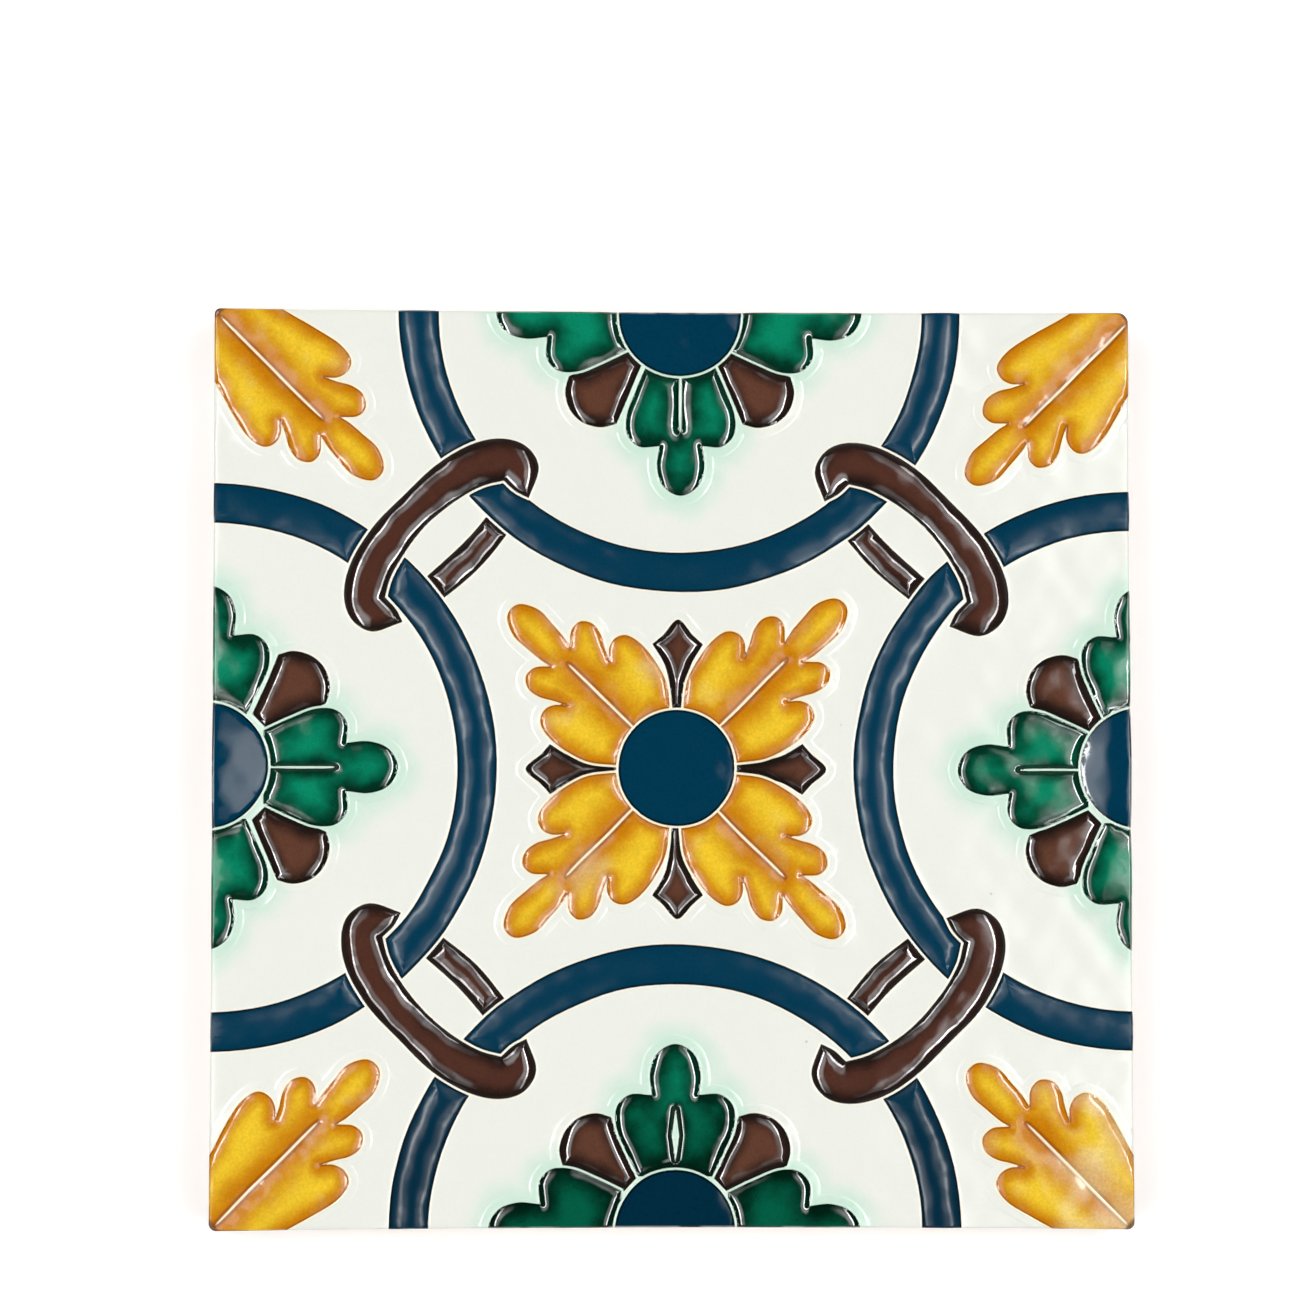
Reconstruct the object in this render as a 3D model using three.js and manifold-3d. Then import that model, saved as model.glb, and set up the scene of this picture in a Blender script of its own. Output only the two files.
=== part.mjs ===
// A square glazed wall tile with a pressed relief: rings clasped by chain links, leafy rosettes and buds.
// Millimetres, +Z up. The tile lies on its plain back, glazed face up, centred on the origin.
import * as THREE from "three";
import { mergeVertices } from "three/addons/utils/BufferGeometryUtils.js";
import Module from "manifold-3d";

// Fired body
const TILE_SIDE = 140;
const GROUND_HEIGHT = 10.5; // from the back to the flat glazed ground
const CORNER_ROUND = 1.6; // plan rounding of the four corners
const ARRIS_ROUND = 1.0; // rounding of the long edges, front and back

// Raised walls that keep the glazes apart, and the shallow pools inside them
const WALL_WIDTH = 0.8;
const WALL_DRAFT = 0.35; // how far a wall leans in from its foot to its crest
const POOL_DEPTH = 0.4; // from a wall's crest down to its pool
const ROOT = 0.3; // how far a wall's slope is rooted under the ground

// Crest heights above the ground, lowest layer first
const BACK_BAR_RISE = 0.7;
const RING_RISE = 1.0;
const BUD_RISE = 0.9;
const LEAF_RISE = 1.2;
const DISC_RISE = 1.3;
const LINK_RISE = 1.6;

// Rings round the middle of each side, joined by the links
const RING_RADIUS = 43;
const RING_WIDTH = 5.8;

// The disc in the middle of the tile and of each side
const DISC_RADIUS = 9.0;

// Smoothness of the curves
const SPLINE_STEPS = 1; // chords for each point of a drawn curve
const RING_STEPS = 24; // chords for half a ring's edge
const DISC_STEPS = 10; // chords for half a disc's edge
const ARRIS_STEPS = 3;

// Half outlines in a motif's own frame: x runs out along its axis and y off it.
// Each list is one curve, curves meet in a sharp notch, and the last point lies on the axis.
const LEAF_LOBES = [
  [[7.6, 5.4], [11, 7.7], [14.2, 9.3], [17.4, 9.9], [20, 9.2], [20.6, 7.4], [19.7, 5.2]],
  [[19.7, 5.2], [22.3, 6.5], [25, 6.9], [26.7, 5.4], [25.9, 2.3]],
  [[25.9, 2.3], [29, 2.6], [32.5, 2.8], [35.1, 1.6], [35.8, 0]],
];
const CORNER_LEAF_FOOT = [[-4, 6.4], [4, 6.9], [8.4, 7.8], [12.6, 9], [17, 9.9], [20, 9.3], [20.7, 7.5], [19.7, 5.2]];
const PETAL_LOBES = [
  [[8, 5.6], [12, 7.5], [15.5, 8.9], [18.6, 8.8], [20.4, 6.8], [20, 3.9]],
  [[20, 3.9], [23.3, 4.1], [26.3, 2.9], [27.8, 0]],
];
const BUD_LOBES = [
  [[8.6, 1], [12, 1.2], [16, 2.1], [19.2, 3.9]],
  [[19.2, 3.9], [20.6, 1.7], [22.9, 0]],
];
const SEPAL_LOBES = [
  [[9.6, 1.5], [14, 3.2], [18.8, 5.2]],
  [[18.8, 5.2], [20.8, 4], [22.1, 2], [22.5, 0]],
];

// The link's front bar in a frame centred between its two rings: x runs from ring to ring, y to the tile's corner
const LINK_OUTER = [[0, 9.3], [6.8, 9.2], [12.9, 7.6], [16.9, 5], [18.8, 1.5], [17.9, -2.4], [13.6, -4.9]];
const LINK_INNER = [[13.6, -4.9], [12.7, -2.6], [12.7, 0.2]];
const LINK_UNDERSIDE = [[12.7, 0.2], [9.7, 1.9], [5.2, 3.1], [0, 3.6]];

// The link's back bar, which passes under both rings
const BACK_BAR_TOP = [[-8, -2], [0, -2.5], [8, -2]];
const BACK_BAR_BOTTOM = [[8, -6.1], [0, -6.9], [-8, -6.1]];

const HALF = TILE_SIDE / 2;
const OVERRUN = 3; // how far a cut motif is drawn past the tile's edge before trimming
const BURIED = 5; // how far a motif's mass reaches down into the body
const HEADROOM = 2; // how far a pool's cutter stands above its crest
const QUARTER = Math.PI / 2;
const EIGHTH = Math.PI / 4;

const wasm = await Module();
wasm.setup();

/** A closed solid from a three.js geometry. */
function toSolid(geometry) {
  const bare = geometry.clone();
  bare.deleteAttribute("normal");
  bare.deleteAttribute("uv");
  const merged = mergeVertices(bare, 1e-5);
  const vertProperties = new Float32Array(merged.attributes.position.array);
  const triVerts = new Uint32Array(merged.index.array);
  return new wasm.Manifold(new wasm.Mesh({ numProp: 3, vertProperties, triVerts }));
}

/** A three.js geometry from a solid. */
function toGeometry(solid) {
  const { vertProperties, triVerts } = solid.getMesh();
  const geometry = new THREE.BufferGeometry();
  geometry.setAttribute("position", new THREE.BufferAttribute(new Float32Array(vertProperties), 3));
  geometry.setIndex(new THREE.BufferAttribute(new Uint32Array(triVerts), 1));
  geometry.computeVertexNormals();
  return geometry;
}

/** Points [x, y] as vectors. */
function vectors(points) {
  return points.map(([x, y]) => new THREE.Vector2(x, y));
}

/** The same curve seen in the mirror of the x axis, drawn back the other way. */
function mirroredAcrossX(points) {
  return points.map(([x, y]) => [x, -y]).reverse();
}

/** The same curve seen in the mirror of the y axis, drawn back the other way. */
function mirroredAcrossY(points) {
  return points.map(([x, y]) => [-x, y]).reverse();
}

/** A closed outline made of smooth curves that meet end to end. */
function outlineOf(curves) {
  const shape = new THREE.Shape();
  const [startX, startY] = curves[0][0];
  shape.moveTo(startX, startY);
  for (const curve of curves) {
    const ahead = curve.slice(1);
    if (ahead.length === 1) shape.lineTo(ahead[0][0], ahead[0][1]);
    else shape.splineThru(vectors(ahead));
  }
  shape.closePath();
  return shape;
}

/** A motif that is the same on both sides of its axis, from the curves of one side. */
function symmetricOutline(lobes) {
  const sides = lobes.slice(0, -1);
  const tip = lobes[lobes.length - 1];
  const wholeTip = [...tip, ...mirroredAcrossX(tip).slice(1)];
  return outlineOf([...sides, wholeTip, ...sides.map(mirroredAcrossX).reverse()]);
}

/** The link's front bar: an arch over both rings whose ends hook round to their inner edges. */
function linkOutline() {
  const arch = [...mirroredAcrossY(LINK_OUTER).slice(0, -1), ...LINK_OUTER];
  const underside = [...LINK_UNDERSIDE, ...mirroredAcrossY(LINK_UNDERSIDE).slice(1)];
  return outlineOf([arch, LINK_INNER, underside, mirroredAcrossY(LINK_INNER)]);
}

/** The link's back bar, a little bowed. */
function backBarOutline() {
  const farEnd = [BACK_BAR_TOP[2], BACK_BAR_BOTTOM[0]];
  const nearEnd = [BACK_BAR_BOTTOM[2], BACK_BAR_TOP[0]];
  return outlineOf([BACK_BAR_TOP, farEnd, BACK_BAR_BOTTOM, nearEnd]);
}

/** Half a ring that opens onto the tile's edge, which lies along the y axis. */
function ringOutline() {
  const inner = RING_RADIUS - RING_WIDTH;
  const shape = new THREE.Shape();
  shape.moveTo(-OVERRUN, -RING_RADIUS);
  shape.lineTo(0, -RING_RADIUS);
  for (let step = 1; step <= RING_STEPS; step += 1) {
    const angle = -QUARTER + (Math.PI * step) / RING_STEPS;
    shape.lineTo(RING_RADIUS * Math.cos(angle), RING_RADIUS * Math.sin(angle));
  }
  shape.lineTo(-OVERRUN, RING_RADIUS);
  shape.lineTo(-OVERRUN, inner);
  shape.lineTo(0, inner);
  for (let step = 1; step <= RING_STEPS; step += 1) {
    const angle = QUARTER - (Math.PI * step) / RING_STEPS;
    shape.lineTo(inner * Math.cos(angle), inner * Math.sin(angle));
  }
  shape.lineTo(-OVERRUN, -inner);
  shape.closePath();
  return shape;
}

/** A round disc. */
function discOutline() {
  const shape = new THREE.Shape();
  const turn = Math.PI / DISC_STEPS;
  shape.moveTo(DISC_RADIUS, 0);
  for (let step = 1; step < 2 * DISC_STEPS; step += 1) {
    shape.lineTo(DISC_RADIUS * Math.cos(turn * step), DISC_RADIUS * Math.sin(turn * step));
  }
  shape.closePath();
  return shape;
}

/** The tile's plan, a square with rounded corners. */
function tileOutline() {
  const straight = HALF - CORNER_ROUND;
  const shape = new THREE.Shape();
  shape.moveTo(straight, -HALF);
  shape.absarc(straight, -straight, CORNER_ROUND, -QUARTER, 0, false);
  shape.absarc(straight, straight, CORNER_ROUND, 0, QUARTER, false);
  shape.absarc(-straight, straight, CORNER_ROUND, QUARTER, Math.PI, false);
  shape.absarc(-straight, -straight, CORNER_ROUND, Math.PI, 3 * QUARTER, false);
  shape.closePath();
  return shape;
}

/** A block of the tile's plan from the bench up to a height, with its long edges rounded. */
function tileBlock(height) {
  const block = new THREE.ExtrudeGeometry(tileOutline(), {
    depth: height - 2 * ARRIS_ROUND,
    bevelThickness: ARRIS_ROUND,
    bevelSize: ARRIS_ROUND,
    bevelOffset: -ARRIS_ROUND,
    bevelSegments: ARRIS_STEPS,
    curveSegments: ARRIS_STEPS,
  });
  return toSolid(block.translate(0, 0, ARRIS_ROUND));
}

/** A slab of an outline whose top and bottom edges slope in, grown or shrunk all round by an offset. */
function slopedSlab(outline, { low, high, slope, lean, offset }) {
  return new THREE.ExtrudeGeometry(outline, {
    depth: high - low - 2 * slope,
    bevelThickness: slope,
    bevelSize: lean,
    bevelOffset: offset - lean,
    bevelSegments: 1,
    curveSegments: SPLINE_STEPS,
  }).translate(0, 0, low + slope);
}

/** A motif: the solid that its wall stands on and the pool that is pressed into it. */
function motif(outline, rise) {
  const crest = GROUND_HEIGHT + rise;
  const slope = rise + ROOT;
  const mass = slopedSlab(outline, {
    low: GROUND_HEIGHT - BURIED,
    high: crest,
    slope,
    lean: WALL_DRAFT,
    offset: WALL_WIDTH,
  });
  const pool = slopedSlab(outline, {
    low: crest - POOL_DEPTH,
    high: crest + HEADROOM,
    slope: POOL_DEPTH,
    lean: WALL_DRAFT,
    offset: 0,
  });
  return { mass: toSolid(mass), pool: toSolid(pool) };
}

/** A motif turned about its own origin and then moved. */
function placed({ mass, pool }, turn, x, y) {
  const degrees = THREE.MathUtils.radToDeg(turn);
  const place = (solid) => solid.rotate([0, 0, degrees]).translate([x, y, 0]);
  return { mass: place(mass), pool: place(pool) };
}

/** Copies of a motif for the four quarter turns of the tile. */
function fourAround(make) {
  return [0, 1, 2, 3].map((quarter) => make(quarter * QUARTER));
}

/** A motif standing at the middle of each side, turned from the way into the tile. */
function atSides(shape, turn = 0) {
  return fourAround((angle) => {
    const out = angle + Math.PI;
    return placed(shape, angle + turn, HALF * Math.cos(out), HALF * Math.sin(out));
  });
}

/** A motif standing at each corner and pointing to the middle. */
function atCorners(shape) {
  return fourAround((angle) => {
    const out = angle + EIGHTH;
    const reach = HALF * Math.SQRT2;
    return placed(shape, out + Math.PI, reach * Math.cos(out), reach * Math.sin(out));
  });
}

/** A motif between each two rings, with its y axis to the tile's corner. */
function atLinks(shape) {
  return fourAround((angle) => {
    const out = angle + EIGHTH;
    const reach = HALF / Math.SQRT2;
    return placed(shape, out - QUARTER, reach * Math.cos(out), reach * Math.sin(out));
  });
}

/** The relief's motifs, in the order in which they cover each other. */
function reliefLayers() {
  const leaf = motif(symmetricOutline(LEAF_LOBES), LEAF_RISE);
  const cornerLeaf = motif(symmetricOutline([CORNER_LEAF_FOOT, ...LEAF_LOBES.slice(1)]), LEAF_RISE);
  const petal = motif(symmetricOutline(PETAL_LOBES), LEAF_RISE);
  const bud = motif(symmetricOutline(BUD_LOBES), BUD_RISE);
  const sepal = motif(symmetricOutline(SEPAL_LOBES), BUD_RISE);
  const disc = motif(discOutline(), DISC_RISE);
  const ring = motif(ringOutline(), RING_RISE);
  const link = motif(linkOutline(), LINK_RISE);
  const backBar = motif(backBarOutline(), BACK_BAR_RISE);
  return [
    ...atLinks(backBar),
    ...atSides(ring),
    ...atLinks(link),
    ...fourAround((angle) => placed(bud, angle, 0, 0)),
    ...fourAround((angle) => placed(leaf, angle + EIGHTH, 0, 0)),
    ...atCorners(cornerLeaf),
    ...atSides(sepal, EIGHTH),
    ...atSides(sepal, -EIGHTH),
    ...atSides(petal, QUARTER),
    ...atSides(petal, -QUARTER),
    ...atSides(petal),
    ...atSides(disc),
    placed(disc, 0, 0, 0),
  ];
}

/** The whole tile: its body, each motif raised on it and pressed in, and all of it trimmed to the tile's plan. */
function buildTile() {
  let tile = tileBlock(GROUND_HEIGHT);
  for (const { mass, pool } of reliefLayers()) {
    tile = tile.add(mass).subtract(pool);
  }
  const envelope = tileBlock(GROUND_HEIGHT + LINK_RISE);
  return tile.intersect(envelope);
}

const glazedFace = new THREE.MeshStandardMaterial({ color: 0xf1efe6, roughness: 0.18, metalness: 0 });
const tile = new THREE.Mesh(toGeometry(buildTile()), glazedFace);
tile.name = "tile";

const group = new THREE.Group();
group.add(tile);

export default group;
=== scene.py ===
"""Looks of a glazed relief tile: its pressed and glazed face, its bare body and the studio round it."""

import logging
from dataclasses import dataclass, field, replace
from enum import Enum
from functools import cached_property, reduce

import bpy
import numpy as np
from mathutils import Matrix, Vector


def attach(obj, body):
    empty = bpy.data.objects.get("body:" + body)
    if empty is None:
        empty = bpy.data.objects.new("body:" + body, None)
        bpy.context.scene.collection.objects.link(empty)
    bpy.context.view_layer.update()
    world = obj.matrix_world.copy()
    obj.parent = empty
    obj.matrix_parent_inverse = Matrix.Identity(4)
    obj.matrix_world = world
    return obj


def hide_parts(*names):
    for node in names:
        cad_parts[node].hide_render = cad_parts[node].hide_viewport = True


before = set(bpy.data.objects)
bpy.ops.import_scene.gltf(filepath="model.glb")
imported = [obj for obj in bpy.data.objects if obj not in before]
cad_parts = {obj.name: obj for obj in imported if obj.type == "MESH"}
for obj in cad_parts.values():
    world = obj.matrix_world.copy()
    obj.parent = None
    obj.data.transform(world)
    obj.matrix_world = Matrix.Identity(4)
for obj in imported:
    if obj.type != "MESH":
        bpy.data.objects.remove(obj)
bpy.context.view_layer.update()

MM = 0.001
QUARTER = np.pi / 2
EIGHTH = np.pi / 4

log = logging.getLogger("tile")

Curve = list[tuple[float, float]]
Span = tuple[float, float]
Colour = tuple[float, float, float]
Socket = bpy.types.NodeSocket
Value = Socket | float | Colour


class Sheet(Enum):
    """The sheets of coloured glaze, by the names of the mesh attributes that hold the distances from their edges."""

    RINGS = "rings"
    DISCS = "discs"
    LEAVES = "leaves"
    PETALS = "petals"
    BARS = "bars"
    BUDS = "buds"


@dataclass(frozen=True)
class Section:
    """The section of a pool of glaze, in mm.

    It rises from the wall round it by shoulder over shoulder_width and by crown over crown_width, each along a
    parabola that ends level.
    """

    shoulder: float
    shoulder_width: float
    crown: float
    crown_width: float

    def height(self, depth: np.ndarray) -> np.ndarray:
        """How far the pool stands over its edge.

        Args:
            depth: Distance in from the pool's edge, in mm.

        Returns:
            The rise at each point: 1 - (1 - t)^2 of each part, where t is the depth as a share of its width.
        """
        near = 1 - np.clip(depth / self.shoulder_width, 0, 1)
        far = 1 - np.clip(depth / self.crown_width, 0, 1)
        return self.shoulder * (1 - near**2) + self.crown * (1 - far**2)


SECTIONS: dict[Sheet, Section] = {
    Sheet.RINGS: Section(shoulder=0.1, shoulder_width=0.5, crown=0.66, crown_width=3.0),
    Sheet.DISCS: Section(shoulder=0.03, shoulder_width=0.9, crown=0.05, crown_width=4.0),
    Sheet.LEAVES: Section(shoulder=0.27, shoulder_width=1.6, crown=0.1, crown_width=4.0),
    Sheet.PETALS: Section(shoulder=0.38, shoulder_width=1.6, crown=0.12, crown_width=4.4),
    Sheet.BARS: Section(shoulder=0.1, shoulder_width=0.5, crown=0.66, crown_width=2.5),
    Sheet.BUDS: Section(shoulder=0.45, shoulder_width=1.8, crown=0.12, crown_width=3.0),
}


@dataclass(frozen=True)
class Ripple:
    """A smooth unevenness: the mean of a few plane waves with seeded directions, lengths and phases."""

    wavelength: float
    seed: int
    waves: int = 7

    def at(self, x: np.ndarray, y: np.ndarray) -> np.ndarray:
        """The unevenness at each point.

        Args:
            x: Distance to the right, in mm.
            y: Distance to the top, in mm.

        Returns:
            Values that mostly lie between -1 and 1.
        """
        draw = np.random.default_rng(self.seed)
        angle = draw.uniform(0, 2 * np.pi, self.waves)
        length = self.wavelength * draw.uniform(0.7, 1.5, self.waves)
        phase = draw.uniform(0, 2 * np.pi, self.waves)
        total = np.zeros_like(x)
        for direction, span, start in zip(angle, length, phase):
            along = x * np.float32(np.cos(direction)) + y * np.float32(np.sin(direction))
            total += np.sin(along * np.float32(2 * np.pi / span) + np.float32(start))
        return total / np.float32(np.sqrt(self.waves))


def smooth_curve(points: Curve, steps: int = 6) -> np.ndarray:
    """Places along a curve through given points, without its last one.

    It is a Catmull-Rom curve: between points B and C, with A before and D after them, the place at share t is
    half of 2B + (C - A) t + (2A - 5B + 4C - D) t^2 + (3B - A - 3C + D) t^3.

    Args:
        points: The points, two of them for a straight line.
        steps: Places for each span between two points.

    Returns:
        The places, one to a row.
    """
    p = np.array(points, float)
    if len(p) == 2:
        return p[:1]
    padded = np.vstack([2 * p[0] - p[1], p, 2 * p[-1] - p[-2]])
    a, b, c, d = (padded[i : len(padded) - 3 + i, None, :] for i in range(4))
    t = (np.arange(steps) / steps)[None, :, None]
    places = 2 * b + (c - a) * t + (2 * a - 5 * b + 4 * c - d) * t**2 + (3 * b - a - 3 * c + d) * t**3
    return places.reshape(-1, 2) / 2


def unit_circle(steps: int, closed: bool) -> np.ndarray:
    """Places round a circle of radius 1, one to a row, with the first one again at the end if it is closed."""
    turn = np.linspace(0, 2 * np.pi, steps, endpoint=closed)[:, None]
    return np.hstack([np.cos(turn), np.sin(turn)])


def across_x(curve: Curve) -> Curve:
    """The curve's mirror image in the x axis, drawn the other way."""
    return [(x, -y) for x, y in reversed(curve)]


def across_y(curve: Curve) -> Curve:
    """The curve's mirror image in the y axis, drawn the other way."""
    return [(-x, y) for x, y in reversed(curve)]


def loop_of(curves: list[Curve]) -> np.ndarray:
    """A closed loop of places along curves that meet end to end."""
    return np.vstack([smooth_curve(curve) for curve in curves])


def leaf_loop(lobes: list[Curve]) -> np.ndarray:
    """A closed loop that is the same on both sides of its axis, from the lobes of one side.

    Args:
        lobes: The lobes from the foot to the tip. The last one ends on the axis.

    Returns:
        The loop's places, one to a row.
    """
    tip = lobes[-1] + across_x(lobes[-1])[1:]
    sides = lobes[:-1]
    closing = [(sides[0][0][0], -sides[0][0][1]), sides[0][0]] if sides else []
    back = [across_x(lobe) for lobe in reversed(sides)]
    return loop_of([*sides, tip, *back, closing] if closing else [tip])


def signed_distance(x: np.ndarray, y: np.ndarray, loop: np.ndarray, block: int = 8) -> np.ndarray:
    """Distance to a closed loop, negative inside it.

    For each chord of the loop, the nearest point on it is found by dropping a perpendicular and clamping it to the
    chord's ends. A point is inside if a line from it to the right crosses an odd number of chords.

    Args:
        x: The points' first coordinates, in mm.
        y: Their second coordinates.
        loop: The loop's places, one to a row.
        block: Chords handled at a time.

    Returns:
        The distance at each point, in mm.
    """
    start = loop.astype(np.float32)
    end = np.roll(start, -1, axis=0)
    least = np.full(x.shape, np.inf, np.float32)
    inside = np.zeros(x.shape, bool)
    for first in range(0, len(start), block):
        ax, ay = start[first : first + block].T[:, :, None]
        bx, by = end[first : first + block].T[:, :, None]
        dx, dy = bx - ax, by - ay
        px, py = x - ax, y - ay
        share = np.clip((px * dx + py * dy) / (dx**2 + dy**2), 0, 1)
        gap = (px - share * dx) ** 2 + (py - share * dy) ** 2
        least = np.minimum(least, gap.min(axis=0))
        level = np.where(dy == 0, np.float32(1), dy)
        crossed = ((ay > y) != (by > y)) & (px < py * dx / level)
        inside ^= np.logical_xor.reduce(crossed, axis=0)
    distance = np.sqrt(least)
    return np.where(inside, -distance, distance)


@dataclass(frozen=True)
class Place:
    """Where a motif stands on the tile: its origin in mm, its turn in radians and how much it is stretched."""

    x: float = 0.0
    y: float = 0.0
    turn: float = 0.0
    long: float = 1.0
    wide: float = 1.0


@dataclass(frozen=True)
class Slip(Place):
    """How one copy of a motif strays from its even place: a shift in mm, a turn in radians and a stretch."""

    def of(self, place: Place) -> Place:
        """The place after the slip."""
        turn = place.turn + self.turn
        return Place(place.x + self.x, place.y + self.y, turn, place.long * self.long, place.wide * self.wide)


def on_diagonals(reach: float, turn: float) -> list[Place]:
    """Places on the four diagonals, from the north-east one round by the left.

    Args:
        reach: Their distance from the tile's middle, in mm.
        turn: Their turn from the outward direction, in radians.

    Returns:
        The four places.
    """
    outward = [EIGHTH + QUARTER * quarter for quarter in range(4)]
    return [Place(reach * np.cos(out), reach * np.sin(out), out + turn) for out in outward]


@dataclass(frozen=True)
class Motif:
    """One pressed shape: a loop in its own frame that holds a pool of one sheet's glaze, or a vein's rib in it.

    A vein's sides are steeper or flatter than distance by its steepness.
    """

    sheet: Sheet
    loop: np.ndarray
    place: Place
    is_vein: bool = False
    steepness: float = 1.0

    def outline(self) -> np.ndarray:
        """The loop where it stands on the tile: stretched, turned and then shifted.

        Returns:
            Its places in mm, one to a row.
        """
        cos, sin = np.cos(self.place.turn), np.sin(self.place.turn)
        local = self.loop * (self.place.long, self.place.wide)
        turned = local @ np.array([[cos, sin], [-sin, cos]])
        return turned + (self.place.x, self.place.y)


@dataclass(frozen=True)
class Rings:
    """The rings round the middle of each side, each with its middle's place and its outer radius."""

    width: float = 6.05
    steps: int = 120
    each: tuple[tuple[float, float, float], ...] = (
        (70.2, -0.35, 42.7), (1.1, 69.7, 43.0), (-69.9, 0.0, 43.15), (0.35, -70.2, 43.35))

    def motifs(self) -> list[Motif]:
        """The four rings, each one loop that runs round its outer edge, in, and back round its inner edge.

        Returns:
            The motifs.
        """
        circle = unit_circle(self.steps, closed=True)
        return [
            Motif(Sheet.RINGS, np.vstack([radius * circle, (radius - self.width) * circle[::-1]]),
                  Place(x, y, np.arctan2(y, x)))
            for x, y, radius in self.each
        ]


@dataclass(frozen=True)
class Discs:
    """The disc in the middle of the tile and the half discs at its sides, each with its place and radius."""

    steps: int = 64
    each: tuple[tuple[float, float, float], ...] = (
        (71.4, 0.0, 9.2), (1.1, 69.2, 9.4), (-71.0, 0.2, 9.6), (0.3, -70.0, 9.1), (0.55, -0.1, 8.85))

    def motifs(self) -> list[Motif]:
        """The five discs."""
        circle = unit_circle(self.steps, closed=False)
        return [Motif(Sheet.DISCS, radius * circle, Place(x, y)) for x, y, radius in self.each]


@dataclass(frozen=True)
class Links:
    """The chain links that clasp each two rings: a front bar over them and a back bar under them.

    In a link's own frame x runs from ring to ring and y to the tile's corner.
    """

    half: float = 70.0
    front_slips: tuple[Slip, ...] = (Slip(0.8, -0.8), Slip(0.35, -0.35), Slip(0.15, 0.3), Slip(0.1, -0.5))
    back_slips: tuple[Slip, ...] = (Slip(0.3, 0.1), Slip(0.2, -0.2), Slip(0.3, 0.2), Slip(0.2, -0.2))
    outer: Curve = field(default_factory=lambda: [
        (0, 9.3), (6.8, 9.2), (12.9, 7.6), (16.9, 5.0), (18.8, 1.5), (17.8, -2.2), (13.5, -4.4)])
    inner: Curve = field(default_factory=lambda: [(13.5, -4.4), (12.8, -2.2), (12.7, 0.2)])
    underside: Curve = field(default_factory=lambda: [(12.7, 0.2), (9.7, 1.9), (5.2, 3.1), (0, 3.6)])
    back_top: Curve = field(default_factory=lambda: [(-8, -2.0), (0, -2.5), (8, -2.0)])
    back_bottom: Curve = field(default_factory=lambda: [(8, -6.1), (0, -6.9), (-8, -6.1)])

    def front_loop(self) -> np.ndarray:
        """The front bar: an arch over both rings whose ends hook round to their inner edges.

        Returns:
            The loop's places, one to a row.
        """
        arch = across_y(self.outer)[:-1] + self.outer
        below = self.underside + across_y(self.underside)[1:]
        return loop_of([arch, self.inner, below, across_y(self.inner)])

    def back_loop(self) -> np.ndarray:
        """The back bar, a little bowed.

        Returns:
            The loop's places, one to a row.
        """
        far = [self.back_top[-1], self.back_bottom[0]]
        near = [self.back_bottom[-1], self.back_top[0]]
        return loop_of([self.back_top, far, self.back_bottom, near])

    def bars(self, loop: np.ndarray, slips: tuple[Slip, ...]) -> list[Motif]:
        """The bar of one kind at each of the four links."""
        places = on_diagonals(self.half / np.sqrt(2), -QUARTER)
        return [Motif(Sheet.BARS, loop, slip.of(place)) for place, slip in zip(places, slips)]

    def back_bars(self) -> list[Motif]:
        """The four back bars."""
        return self.bars(self.back_loop(), self.back_slips)

    def front_bars(self) -> list[Motif]:
        """The four front bars."""
        return self.bars(self.front_loop(), self.front_slips)


LOWER_LOBE: Curve = [(6.9, 5.8), (10.3, 8.4), (13.9, 9.6), (17.4, 10), (20, 9.4), (21, 7.7), (20.5, 6), (19.1, 4.7)]
MIDDLE_LOBE: Curve = [(19.1, 4.7), (21, 5.6), (23, 6.7), (25.1, 7), (26.8, 5.9), (26.8, 4), (25.1, 2.1)]
TIP_LOBE: Curve = [(25.1, 2.1), (26.9, 2.5), (29.5, 2.7), (32.5, 2.8), (35.1, 1.6), (35.8, 0)]
CORNER_FOOT: Curve = [
    (-4, 6.4), (4, 6.9), (8.4, 7.8), (12.6, 9), (17, 10), (20, 9.5), (21, 7.8), (20.5, 6), (19.1, 4.7)]


def vein_loop(start: float, end: float, width: float, taper: float = 0.12) -> np.ndarray:
    """A long thin rib on the axis.

    Args:
        start: Where it starts, in mm.
        end: Where it ends.
        width: Its width.
        taper: The share of its length over which each end narrows to a point.

    Returns:
        The loop's places, one to a row.
    """
    reach = taper * (end - start)
    side = [(start, 0.0), (start + reach, width / 2), (end - reach, width / 2), (end, 0.0)]
    return loop_of([side, across_x(side)])


def veined_leaves(leaf: np.ndarray, stem: np.ndarray, steepness: float, places: list[Place]) -> list[Motif]:
    """Leaves, and then the veins on them.

    Args:
        leaf: A leaf's loop.
        stem: Its vein's loop.
        steepness: How steep the vein's sides are.
        places: Where the leaves stand.

    Returns:
        The motifs.
    """
    leaves = [Motif(Sheet.LEAVES, leaf, place) for place in places]
    return leaves + [Motif(Sheet.LEAVES, stem, place, is_vein=True, steepness=steepness) for place in places]


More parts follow.
